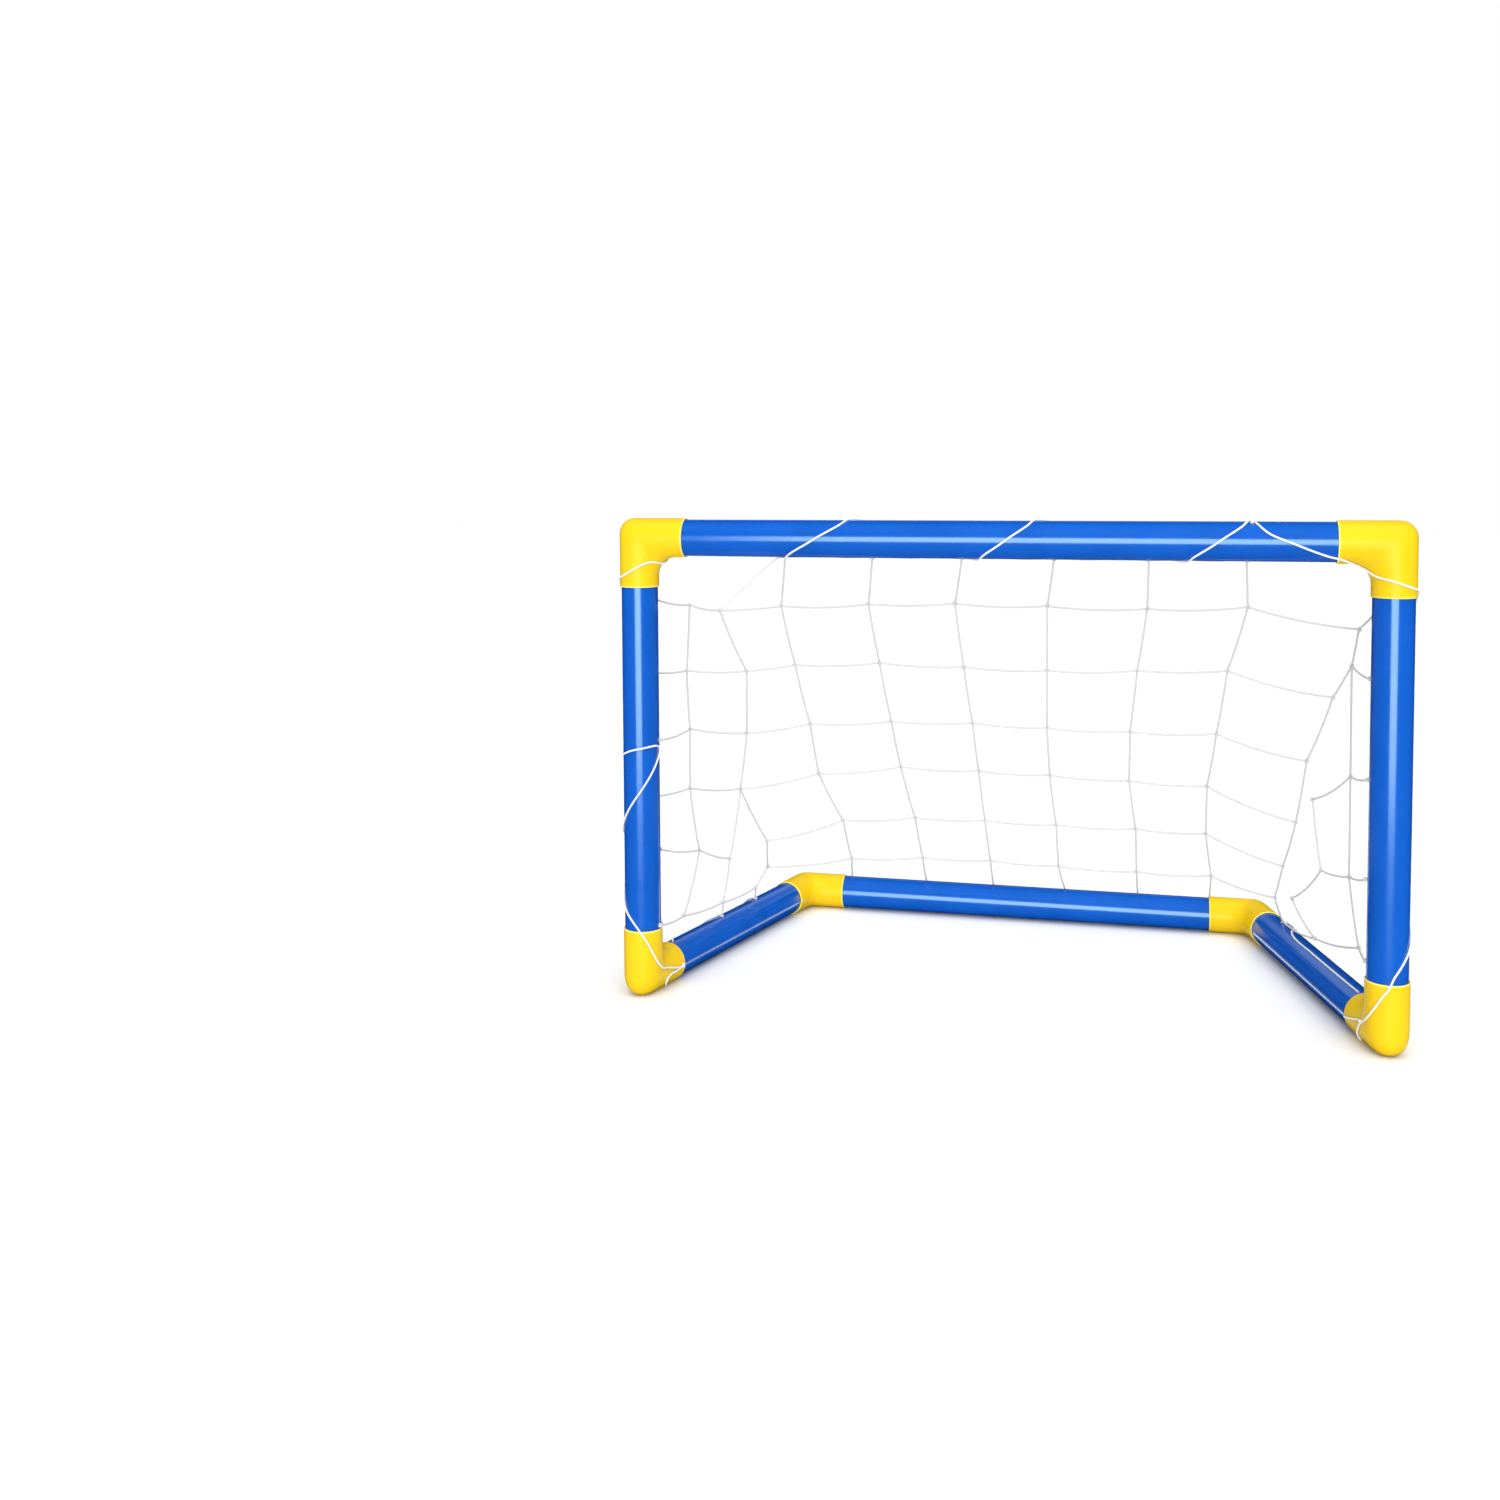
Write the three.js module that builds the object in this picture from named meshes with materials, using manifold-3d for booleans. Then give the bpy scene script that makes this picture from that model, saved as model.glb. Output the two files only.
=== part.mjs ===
// Small push-fit play goal: blue plastic tubes joined by yellow moulded elbows, with a white
// string net laced to them. Millimetres, +Z up, +Y towards the back of the goal. The origin is
// on the ground, at the middle of the footprint.
import * as THREE from 'three';
import { mergeVertices } from 'three/addons/utils/BufferGeometryUtils.js';
import Module from 'manifold-3d';

const wasm = await Module();
wasm.setup();

// Driving dimensions, in millimetres and degrees.
const POST_SPACING = 620;
const CROSSBAR_RISE = 390;
const DEPTH = 305;
const TOE_IN = THREE.MathUtils.degToRad(15);
const TUBE_RADIUS = 16;
const TUBE_WALL = 1.8;
const ELBOW_RADIUS = 17.2;
const ELBOW_LEG = 43;
const SOCKET_STOP = 19;
const SOCKET_CLEARANCE = 0.25;
const PASSAGE_RADIUS = 13.6;
const INNER_FILLET = 16;
const END_GAP = 0.3;
const NET_THICKNESS = 1;
const NET_TO_TUBE = 24;
const NET_TO_NET = 10;
const STRING_DIAMETER = 1.6;
const STRING_CLEARANCE = 0.15;

// Round sections are 24-sided, with a flat side facing each way that another piece meets.
const SIDES = 24;
const HALF_SIDE = Math.PI / SIDES;
const FLAT = Math.cos(HALF_SIDE);
const STRING_SIDES = 6;
const STRING_STEP = 4;
const BEND_STEPS = 7;

const REST_HEIGHT = ELBOW_RADIUS * FLAT;
const UP = new THREE.Vector3(0, 0, 1);
const DOWN = new THREE.Vector3(0, 0, -1);
const RIGHT = new THREE.Vector3(1, 0, 0);
const LEFT = new THREE.Vector3(-1, 0, 0);
const FRONT = new THREE.Vector3(0, -1, 0);

const bluePlastic = new THREE.MeshStandardMaterial({ color: 0x1a55cf, roughness: 0.28, metalness: 0 });
const yellowPlastic = new THREE.MeshStandardMaterial({ color: 0xffd416, roughness: 0.38, metalness: 0 });
const whiteString = new THREE.MeshStandardMaterial({ color: 0xf2f3f6, roughness: 0.8, metalness: 0 });

const goal = new THREE.Group();
goal.position.set(0, -DEPTH / 2, REST_HEIGHT);

// Corners of the frame, where the tube axes would meet.
const rearHalf = POST_SPACING / 2 - DEPTH * Math.tan(TOE_IN);
const corners = {
  topLeft: new THREE.Vector3(-POST_SPACING / 2, 0, CROSSBAR_RISE),
  topRight: new THREE.Vector3(POST_SPACING / 2, 0, CROSSBAR_RISE),
  frontLeft: new THREE.Vector3(-POST_SPACING / 2, 0, 0),
  frontRight: new THREE.Vector3(POST_SPACING / 2, 0, 0),
  rearLeft: new THREE.Vector3(-rearHalf, DEPTH, 0),
  rearRight: new THREE.Vector3(rearHalf, DEPTH, 0),
};

function direction(from, to) {
  return new THREE.Vector3().subVectors(to, from).normalize();
}

function addMesh(name, geometry, material) {
  const mesh = new THREE.Mesh(geometry, material);
  mesh.name = name;
  goal.add(mesh);
  return mesh;
}

// Stands a mesh on `origin`, with its X axis along `xAxis` and its Z axis as near `zHint` as it can be.
function place(mesh, origin, xAxis, zHint) {
  const yAxis = new THREE.Vector3().crossVectors(zHint, xAxis).normalize();
  const zAxis = new THREE.Vector3().crossVectors(xAxis, yAxis);
  mesh.quaternion.setFromRotationMatrix(new THREE.Matrix4().makeBasis(xAxis, yAxis, zAxis));
  mesh.position.copy(origin);
}

// ---- Solids for joining and cutting ----

function solidOf(geometry) {
  const bare = geometry.index ? geometry.toNonIndexed() : geometry.clone();
  bare.deleteAttribute('normal');
  bare.deleteAttribute('uv');
  const merged = mergeVertices(bare, 1e-3);
  return new wasm.Manifold(new wasm.Mesh({
    numProp: 3,
    vertProperties: new Float32Array(merged.attributes.position.array),
    triVerts: new Uint32Array(merged.index.array),
  }));
}

function geometryOf(solid) {
  const mesh = solid.getMesh();
  const geometry = new THREE.BufferGeometry();
  geometry.setAttribute('position', new THREE.BufferAttribute(mesh.vertProperties, 3));
  geometry.setIndex(new THREE.BufferAttribute(mesh.triVerts, 1));
  return geometry;
}

// A rod that starts `from` millimetres out along X and ends at `to`, turned by `angle` about Z.
function rodSolid(radius, from, to, angle) {
  const rod = new THREE.CylinderGeometry(radius, radius, to - from, SIDES, 1, false, HALF_SIDE);
  rod.rotateZ(-Math.PI / 2);
  rod.translate((from + to) / 2, 0, 0);
  rod.rotateZ(angle);
  return solidOf(rod);
}

function ballSolid(radius) {
  const ball = new THREE.SphereGeometry(radius, SIDES, SIDES / 2);
  ball.rotateX(Math.PI / 2);
  return solidOf(ball);
}

// The round arc that is tangent to two legs leaving the origin, one along X and one at `angle`.
class BendCurve extends THREE.Curve {
  constructor(radius, angle) {
    super();
    this.radius = radius;
    this.sweep = Math.PI - angle;
    this.centre = new THREE.Vector3(radius / Math.tan(angle / 2), radius, 0);
  }

  getPoint(t, target = new THREE.Vector3()) {
    const turn = -Math.PI / 2 - t * this.sweep;
    return target.set(Math.cos(turn), Math.sin(turn), 0).multiplyScalar(this.radius).add(this.centre);
  }
}

function circleShape(radius, sides) {
  const shape = new THREE.Shape();
  for (let i = 0; i < sides; i += 1) {
    const angle = (i + 0.5) * 2 * Math.PI / sides;
    const step = i === 0 ? 'moveTo' : 'lineTo';
    shape[step](radius * Math.cos(angle), radius * Math.sin(angle));
  }
  shape.closePath();
  return shape;
}

function bendSolid(radius, angle) {
  const curve = new BendCurve(radius + INNER_FILLET, angle);
  const shape = circleShape(radius, SIDES);
  return solidOf(new THREE.ExtrudeGeometry(shape, { extrudePath: curve, steps: BEND_STEPS, bevelEnabled: false }));
}

// ---- Pieces ----

// One moulded elbow: two sockets in the XY plane, one along X and one at `angle` to it, with a
// round outer corner, a fillet inside, and a shoulder in each socket that the tube stops against.
function elbowGeometry(angle) {
  const bore = TUBE_RADIUS + SOCKET_CLEARANCE;
  let outside = ballSolid(ELBOW_RADIUS * FLAT).add(bendSolid(ELBOW_RADIUS * FLAT, angle));
  let inside = ballSolid(PASSAGE_RADIUS);
  for (const leg of [0, angle]) {
    outside = outside.add(rodSolid(ELBOW_RADIUS, 0, ELBOW_LEG, leg));
    inside = inside.add(rodSolid(PASSAGE_RADIUS, 0, ELBOW_LEG, leg));
    inside = inside.add(rodSolid(bore, SOCKET_STOP, ELBOW_LEG + 1, leg));
  }
  return geometryOf(outside.subtract(inside));
}

function addElbow(name, corner, firstLeg, secondLeg) {
  const angle = firstLeg.angleTo(secondLeg);
  const mesh = addMesh(name, elbowGeometry(angle), yellowPlastic);
  place(mesh, corner, firstLeg, new THREE.Vector3().crossVectors(firstLeg, secondLeg));
}

// One hollow tube between two corners, ending just short of the shoulder in each elbow.
function addTube(name, from, to, flatTowards) {
  const length = from.distanceTo(to) - 2 * (SOCKET_STOP + END_GAP);
  const bore = TUBE_RADIUS - TUBE_WALL;
  const profile = [[bore, 0], [TUBE_RADIUS, 0], [TUBE_RADIUS, length], [bore, length], [bore, 0]];
  const points = profile.map(([x, y]) => new THREE.Vector2(x, y));
  const geometry = new THREE.LatheGeometry(points, SIDES, HALF_SIDE);
  geometry.rotateZ(-Math.PI / 2);
  const axis = direction(from, to);
  const start = from.clone().addScaledVector(axis, SOCKET_STOP + END_GAP);
  place(addMesh(name, geometry, bluePlastic), start, axis, flatTowards);
}

// A string lying on a round tube. Each stop is a distance along the tube and a turn round it in
// degrees, from the side that `zero` faces towards the side that `quarter` faces.
class LacingCurve extends THREE.Curve {
  constructor(from, axis, zero, quarter, radius, stops) {
    super();
    Object.assign(this, { from, axis, zero, quarter, radius });
    const arc = (turn) => THREE.MathUtils.degToRad(turn) * radius;
    this.route = new THREE.SplineCurve(stops.map(([along, turn]) => new THREE.Vector2(along, arc(turn))));
  }

  getPoint(t, target = new THREE.Vector3()) {
    const { x: along, y: arc } = this.route.getPointAt(t);
    return target.copy(this.from)
      .addScaledVector(this.axis, along)
      .addScaledVector(this.zero, this.radius * Math.cos(arc / this.radius))
      .addScaledVector(this.quarter, this.radius * Math.sin(arc / this.radius));
  }
}

// The part of `vector` that is square to `axis`, as a unit vector.
function squareTo(axis, vector) {
  return vector.clone().addScaledVector(axis, -axis.dot(vector)).normalize();
}

// The net's edge string along one tube, from the mouth of one elbow to the other.
function addLacing(name, from, to, zero, quarter, stops) {
  const axis = direction(from, to);
  const radius = TUBE_RADIUS + STRING_CLEARANCE + STRING_DIAMETER / 2;
  const path = new LacingCurve(from, axis, squareTo(axis, zero), squareTo(axis, quarter), radius, stops);
  const section = circleShape(STRING_DIAMETER / 2, STRING_SIDES);
  const steps = Math.ceil(path.route.getLength() / STRING_STEP);
  const geometry = new THREE.ExtrudeGeometry(section, { extrudePath: path, steps, bevelEnabled: false });
  addMesh(name, geometry, whiteString);
}

// One net panel, as a thin sheet in the plane of three frame corners. The outline is in that
// plane's own X (along from -> to) and Y.
function addNet(name, from, to, inPlane, outline) {
  const shape = new THREE.Shape(outline.map(([x, y]) => new THREE.Vector2(x, y)));
  const geometry = new THREE.ExtrudeGeometry(shape, { depth: NET_THICKNESS, bevelEnabled: false });
  geometry.translate(0, 0, -NET_THICKNESS / 2);
  const xAxis = direction(from, to);
  place(addMesh(name, geometry, whiteString), from, xAxis, new THREE.Vector3().crossVectors(xAxis, inPlane));
}

function addSideNet(name, top, front, rear) {
  const height = top.distanceTo(front);
  const run = front.distanceTo(rear);
  const slopeLength = Math.hypot(height, run);
  const rise = (x) => (height * run - NET_TO_NET * slopeLength - height * x) / run;
  const lastX = (height * run - NET_TO_NET * slopeLength - run * NET_TO_TUBE) / height;
  addNet(name, front, rear, UP, [
    [NET_TO_TUBE, NET_TO_TUBE],
    [lastX, NET_TO_TUBE],
    [NET_TO_TUBE, rise(NET_TO_TUBE)],
  ]);
}

function addBackNet(name) {
  const { topLeft, topRight, rearLeft, rearRight } = corners;
  const topMiddle = topLeft.clone().lerp(topRight, 0.5);
  const rearMiddle = rearLeft.clone().lerp(rearRight, 0.5);
  const slope = direction(topMiddle, rearMiddle);
  const length = topMiddle.distanceTo(rearMiddle);
  const halfWidth = (down) => THREE.MathUtils.lerp(POST_SPACING / 2, rearHalf, down / length) - NET_TO_TUBE;
  const bottom = length - NET_TO_TUBE;
  addNet(name, topMiddle, topMiddle.clone().add(RIGHT), slope, [
    [-halfWidth(NET_TO_TUBE), NET_TO_TUBE],
    [halfWidth(NET_TO_TUBE), NET_TO_TUBE],
    [halfWidth(bottom), bottom],
    [-halfWidth(bottom), bottom],
  ]);
}

// ---- Assembly ----

const { topLeft, topRight, frontLeft, frontRight, rearLeft, rearRight } = corners;
const leftSide = direction(frontLeft, rearLeft);
const rightSide = direction(frontRight, rearRight);

addElbow('top_left_elbow', topLeft, RIGHT, DOWN);
addElbow('top_right_elbow', topRight, DOWN, LEFT);
addElbow('front_left_foot_elbow', frontLeft, leftSide, UP);
addElbow('front_right_foot_elbow', frontRight, rightSide, UP);
addElbow('rear_left_elbow', rearLeft, RIGHT, leftSide.clone().negate());
addElbow('rear_right_elbow', rearRight, LEFT, rightSide.clone().negate());

addTube('crossbar_tube', topLeft, topRight, UP);
addTube('left_post_tube', frontLeft, topLeft, RIGHT);
addTube('right_post_tube', frontRight, topRight, RIGHT);
addTube('left_base_tube', frontLeft, rearLeft, UP);
addTube('right_base_tube', frontRight, rearRight, UP);
addTube('rear_base_tube', rearLeft, rearRight, UP);

// Along the crossbar the string winds forward over the top, and turns back at a knot near the right end.
addLacing('crossbar_lacing', topLeft, topRight, FRONT, UP, [
  [145, -90], [170, 0], [195, 90], [242, 180], [294, 262], [319, 360], [342, 458], [398, 540], [450, 626],
  [476, 668], [492, 716], [503, 756], [511, 768], [520, 756], [545, 716], [562, 680],
]);
// Down the posts it crosses the front near the top, once in the middle and once near the foot.
addLacing('left_post_lacing', frontLeft, topLeft, FRONT, RIGHT, [
  [48, -12], [59, -45], [76, -90], [104, -150], [134, -150], [154, -90], [179, 0], [205, 78], [210, 90],
  [215, 78], [213, 0], [209, -90], [234, -150], [284, -185], [332, -150], [343, -104],
]);
addLacing('right_post_lacing', frontRight, topRight, FRONT, RIGHT, [
  [48, 22], [62, 48], [83, 90], [114, 150], [184, 185], [284, 182], [330, 150], [343, 108],
]);
addLacing('left_base_lacing', frontLeft, rearLeft, RIGHT, UP, [
  [48, 84], [62, 120], [90, 190], [120, 150], [137, 100], [152, 150], [190, 205], [235, 200], [267, 150],
]);
addLacing('right_base_lacing', frontRight, rearRight, LEFT, UP, [
  [48, 20], [62, -30], [85, -64], [120, -70], [180, -70], [205, -62], [216, -25], [226, 15], [240, 45],
  [256, 66], [268, 82],
]);
addLacing('rear_bar_lacing', rearLeft, rearRight, FRONT, UP, [
  [48, 190], [80, 222], [160, 228], [230, 222], [300, 228], [376, 222], [408, 190],
]);

addBackNet('back_net');
addSideNet('left_side_net', topLeft, frontLeft, rearLeft);
addSideNet('right_side_net', topRight, frontRight, rearRight);

export default goal;
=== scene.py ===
"""Looks of the small push-fit play goal: blue tubes, yellow moulded elbows, a knotted white string net.

The pieces are worked out in millimetres, in the CAD's frame, and MM turns them into metres. The stage and
the lights are given in metres.
"""
import math

import bpy
import numpy as np
from mathutils import Matrix, Vector


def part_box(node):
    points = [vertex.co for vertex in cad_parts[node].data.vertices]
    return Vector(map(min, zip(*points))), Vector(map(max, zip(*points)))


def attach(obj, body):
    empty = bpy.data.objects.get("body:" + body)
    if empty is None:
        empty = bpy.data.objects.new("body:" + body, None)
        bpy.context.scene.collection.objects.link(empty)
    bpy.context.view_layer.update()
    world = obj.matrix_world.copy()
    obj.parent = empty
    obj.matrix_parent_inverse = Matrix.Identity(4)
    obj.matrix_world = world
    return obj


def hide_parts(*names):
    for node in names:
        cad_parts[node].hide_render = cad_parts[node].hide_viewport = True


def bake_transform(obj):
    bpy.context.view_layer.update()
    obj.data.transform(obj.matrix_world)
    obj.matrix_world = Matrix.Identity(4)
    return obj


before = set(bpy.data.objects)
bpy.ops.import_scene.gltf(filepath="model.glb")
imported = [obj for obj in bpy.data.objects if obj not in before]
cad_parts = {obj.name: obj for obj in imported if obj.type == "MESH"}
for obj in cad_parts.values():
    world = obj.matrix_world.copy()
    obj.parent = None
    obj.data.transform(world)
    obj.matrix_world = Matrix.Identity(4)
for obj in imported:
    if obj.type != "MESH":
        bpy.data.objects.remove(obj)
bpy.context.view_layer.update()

MM = 0.001
TUBE_R = 16.0          # outer radius of every tube
BORE_R = 14.2          # inside radius of every tube
ELBOW_R = 17.2         # outer radius of the elbows' legs
LEG = 43.0             # corner to the mouth of an elbow
STOP = 19.0            # corner to the shoulder inside a socket
SOCKET_R = 16.25       # socket bore
PASSAGE_R = 13.6       # passage past the shoulder
FILLET = 16.0          # inside fillet of an elbow
CORNER = 13.5          # rounding of an elbow's outer corner
END = 19.3             # corner to the end of a tube
STRING_R = 0.9         # string of the net
LACING_R = 0.85        # string of the lacings
CLEAR = STRING_R + 0.1  # from a tube or elbow to the middle of a string that lies on it
KNOT = 0.85            # size of the net's knots, where 1 is a knot 5.4 mm across
LACING_KNOT = 0.8      # size of the lacings' knots
TURN = 2 * math.pi


# ------------------------------------------------------------------ camera

EYE = (0.1228, -1.4569, 0.4738)
LOOK_LEFT, LOOK_DOWN, ROLL = 14.3, 3.27, -0.36  # degrees


def set_camera():
    """The eye stands ahead of the goal, a little to its right and just above the crossbar."""
    data = bpy.data.cameras.new("camera")
    data.sensor_width = 36
    data.lens = 37.49
    data.shift_y = -0.1333
    data.clip_end = 60
    camera = bpy.data.objects.new("camera", data)
    turn = Matrix.Rotation(math.radians(LOOK_LEFT), 4, "Z")
    tip = Matrix.Rotation(math.radians(90 - LOOK_DOWN), 4, "X")
    roll = Matrix.Rotation(math.radians(ROLL), 4, "Z")
    camera.matrix_world = Matrix.Translation(EYE) @ turn @ tip @ roll
    bpy.context.collection.objects.link(camera)
    bpy.context.scene.camera = camera


set_camera()


# ------------------------------------------------------------------ frame corners, from the CAD nodes

def centre(node):
    lo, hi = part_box(node)
    return np.array((lo + hi) / 2) / MM


left_x, front_y, _ = centre("left_post_tube")
right_x = centre("right_post_tube")[0]
top_z = centre("crossbar_tube")[2]
_, rear_y, base_z = centre("rear_base_tube")
rear_lo, rear_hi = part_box("rear_base_tube")
rear_left_x = rear_lo.x / MM - END
rear_right_x = rear_hi.x / MM + END

TOP_LEFT = np.array([left_x, front_y, top_z])
TOP_RIGHT = np.array([right_x, front_y, top_z])
FRONT_LEFT = np.array([left_x, front_y, base_z])
FRONT_RIGHT = np.array([right_x, front_y, base_z])
REAR_LEFT = np.array([rear_left_x, rear_y, base_z])
REAR_RIGHT = np.array([rear_right_x, rear_y, base_z])
RIGHT, UP, FRONT = np.eye(3)[0], np.eye(3)[2], -np.eye(3)[1]


def unit(v):
    v = np.asarray(v, float)
    return v / np.linalg.norm(v)


LEFT_SIDE = unit(REAR_LEFT - FRONT_LEFT)
RIGHT_SIDE = unit(REAR_RIGHT - FRONT_RIGHT)


# ------------------------------------------------------------------ mesh helpers

def ring_faces(rings, sides, start=0, wrap=False):
    """Quads between rings of points; wrap joins the last ring to the first."""
    faces = []
    for i in range(rings if wrap else rings - 1):
        a, b = start + i * sides, start + (i + 1) % rings * sides
        for j in range(sides):
            k = (j + 1) % sides
            faces.append((a + j, a + k, b + k, b + j))
    return faces


def make_mesh(name, points, faces, material, uv=None):
    """A smooth mesh from points in millimetres. uv gives each vertex (turn 0..1, metres along); the last
    face of a ring is carried on to turn 1."""
    mesh = bpy.data.meshes.new(name)
    mesh.from_pydata((np.asarray(points) * MM).tolist(), [], faces)
    if uv is not None:
        loops = np.empty(len(mesh.loops), dtype=np.int32)
        mesh.loops.foreach_get("vertex_index", loops)
        co = np.asarray(uv, float)[loops]
        sizes = np.array([len(f) for f in faces])
        ends = np.cumsum(sizes)
        first = ends - sizes
        wide = np.maximum.reduceat(co[:, 0], first) > np.minimum.reduceat(co[:, 0], first) + 0.5
        wide = np.repeat(wide, sizes) & (co[:, 0] < 0.5)
        co[wide, 0] += 1
        layer = mesh.uv_layers.new(name="UVMap")
        layer.data.foreach_set("uv", co.ravel())
    mesh.materials.append(material)
    mesh.polygons.foreach_set("use_smooth", [True] * len(mesh.polygons))
    mesh.update()
    obj = bpy.data.objects.new(name, mesh)
    bpy.context.collection.objects.link(obj)
    return obj


def torus_mesh(name, rings, along, material):
    """A closed skin through rings that lead back to the first one; along is each ring's place in the UV."""
    rings = np.asarray(rings)
    count, sides = rings.shape[:2]
    turn = np.tile(np.arange(sides) / sides, count)
    uv = np.stack([turn, np.repeat(np.asarray(along) * MM, sides)], 1)
    return make_mesh(name, rings.reshape(-1, 3), ring_faces(count, sides, wrap=True), material, uv)


# ------------------------------------------------------------------ materials

BLACK = (0, 0, 0)
WHITE = (1, 1, 1)
LIP_HIGHLIGHT_FROM, LIP_HIGHLIGHT_FULL = 0.416, 0.424  # where an elbow's painted lip highlight starts and is full, decimetres out
# Colour of the painted highlight: a paler band on each elbow's mouth lip, where its rounded rim catches the
# light.
LIP_HIGHLIGHT_COLOUR = (0.85, 0.74, 0.16)
SEAM_HALF = 0.035      # half of the parting seam's width, in radians round the piece
LAY = 0.006            # one turn of a strand in twisted string, in metres


class Nodes:
    """A short way of writing a node tree."""

    def __init__(self, name):
        self.material = bpy.data.materials.new(name)
        self.material.use_nodes = True
        self.tree = self.material.node_tree
        self.shader = self.tree.nodes["Principled BSDF"]

    def add(self, kind, inputs=(), **settings):
        node = self.tree.nodes.new(kind)
        for key, value in settings.items():
            setattr(node, key, value)
        for key, value in dict(inputs).items():
            self.put(node, key, value)
        return node

    def put(self, node, key, value):
        if isinstance(value, bpy.types.NodeSocket):
            self.tree.links.new(value, node.inputs[key])
        else:
            node.inputs[key].default_value = value

    def math(self, operation, *values):
        node = self.add("ShaderNodeMath", operation=operation)
        for i, value in enumerate(values):
            self.put(node, i, value)
        return node.outputs[0]

    def ramp(self, factor, *stops):
        node = self.add("ShaderNodeValToRGB", {"Fac": factor})
        elements = node.color_ramp.elements
        while len(elements) < len(stops):
            elements.new(0.5)
        for element, (place, colour) in zip(elements, stops):
            element.position = place
            element.color = (*colour, 1)
        return node.outputs[0]

    def noise(self, vector, scale, detail=3.0):
        inputs = {"Vector": vector, "Scale": scale, "Detail": detail}
        return self.add("ShaderNodeTexNoise", inputs).outputs[0]

    def turn_and_run(self, place):
        """The UV's two parts: the turn round the piece, 0..1, and the metres along it."""
        parts = self.add("ShaderNodeSeparateXYZ", {0: place.outputs["UV"]})
        return parts.outputs[0], parts.outputs[1]

    def bump(self, height, strength, distance):
        inputs = {"Height": height, "Strength": strength, "Distance": distance}
        return self.add("ShaderNodeBump", inputs).outputs[0]


def plastic(name, dark, light, roughness, level, tint, coat, drawn):
    """Glossy coloured plastic, clouded between two shades. drawn: faint lines along the piece, as on an
    extruded tube; otherwise the piece is moulded, with a parting seam and a painted highlight, a paler
    band, at its mouths' lips."""
    n = Nodes(name)
    place = n.add("ShaderNodeTexCoord")
    turn, run = n.turn_and_run(place)
    cloud = n.noise(place.outputs["Object"], 22.0)
    colour = n.ramp(cloud, (0.3, dark), (0.7, light))
    if not drawn:
        # Painted highlight: the colour turns paler over the last bit of each leg, at the mouth's lip.
        decimetres = n.math("MULTIPLY", n.math("ABSOLUTE", run), 10.0)
        edge = n.ramp(decimetres, (LIP_HIGHLIGHT_FROM, BLACK), (LIP_HIGHLIGHT_FULL, WHITE))
        painted_lip_highlight = n.add("ShaderNodeMix", {0: edge, 6: colour, 7: (*LIP_HIGHLIGHT_COLOUR, 1)}, data_type="RGBA")
        colour = painted_lip_highlight.outputs[2]
    n.put(n.shader, "Base Color", colour)
    scuff = n.noise(place.outputs["Object"], 60.0, 2.0)
    rough = n.add("ShaderNodeMapRange", {
        "Value": scuff, "From Min": 0.3, "From Max": 0.75,
        "To Min": roughness - 0.01, "To Max": roughness + 0.03,
    })
    n.put(n.shader, "Roughness", rough.outputs[0])
    n.shader.inputs["Specular IOR Level"].default_value = level
    n.shader.inputs["Specular Tint"].default_value = (*tint, 1)
    n.shader.inputs["Coat Weight"].default_value = coat
    n.shader.inputs["Coat Roughness"].default_value = roughness - 0.05
    if drawn:
        angle = n.math("MULTIPLY", turn, TURN)
        stretched = n.math("MULTIPLY", run, 0.35)
        lines = n.add("ShaderNodeCombineXYZ", {
            0: n.math("COSINE", angle), 1: n.math("SINE", angle), 2: stretched,
        })
        normal = n.bump(n.noise(lines.outputs[0], 9.0, 1.0), strength=0.03, distance=0.0001)
    else:
        seam = n.math("ABSOLUTE", n.math("SINE", n.math("MULTIPLY", turn, TURN)))
        ridge = n.ramp(seam, (0.0, WHITE), (SEAM_HALF, BLACK))
        normal = n.bump(ridge, strength=0.25, distance=0.00025)
    n.put(n.shader, "Normal", normal)
    return n.material


def string_material(name, shaded, bright, cover):
    """Twisted string of three thin nylon strands, which covers what is behind it more or less fully."""
    n = Nodes(name)
    n.shader.inputs["Alpha"].default_value = cover
    place = n.add("ShaderNodeTexCoord")
    turn, run = n.turn_and_run(place)
    # Painted shade: the base colour is darker in the grooves between the strands; the cloud adds tone at
    # random.
    strands = n.math("ADD", n.math("MULTIPLY", turn, 3.0), n.math("MULTIPLY", run, 3.0 / LAY))
    twist = n.math("ABSOLUTE", n.math("SINE", n.math("MULTIPLY", strands, math.pi)))
    cloud = n.noise(place.outputs["Object"], 400.0)
    shade = n.math("MULTIPLY", n.math("ADD", twist, 0.4), n.math("ADD", cloud, 0.5))
    n.put(n.shader, "Base Color", n.ramp(shade, (0.1, shaded), (0.9, bright)))
    n.shader.inputs["Roughness"].default_value = 0.75
    n.shader.inputs["Sheen Weight"].default_value = 0.2
    n.shader.inputs["Specular IOR Level"].default_value = 0.3
    n.put(n.shader, "Normal", n.bump(twist, strength=0.6, distance=0.0004))
    return n.material


BLUE = plastic("blue_tube_look", dark=(0.0016, 0.073, 0.395), light=(0.0024, 0.083, 0.45),
               roughness=0.18, level=1.0, tint=(0.6, 1.0, 1.0), coat=0.35, drawn=True)
YELLOW = plastic("yellow_elbow_look", dark=(0.67, 0.44, 0.003), light=(0.72, 0.475, 0.005),
                 roughness=0.36, level=0.3, tint=(1.0, 0.9, 0.4), coat=0.15, drawn=False)
LACING = string_material("lacing_string_look", (0.60, 0.65, 0.70), (0.80, 0.82, 0.84), cover=0.8)
# The net's string is the lacing's white string painted darker grey: painted shade for string that is lit
# less.
SHADED_NET_STRING = string_material("net_string_painted_shade_look", (0.39, 0.39, 0.40), (0.55, 0.55, 0.56), cover=1.0)


# ------------------------------------------------------------------ tubes

# Rounding of a tube's end: (in from the end, in from the skin).
TUBE_EDGE = [(0.4, 0.08), (0.1, 0.35), (0.0, 0.7)]
BORE_EDGE = 0.3        # bevel of the bore's edge
RING_STEP = 11         # between the rings of a tube's skin


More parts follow.
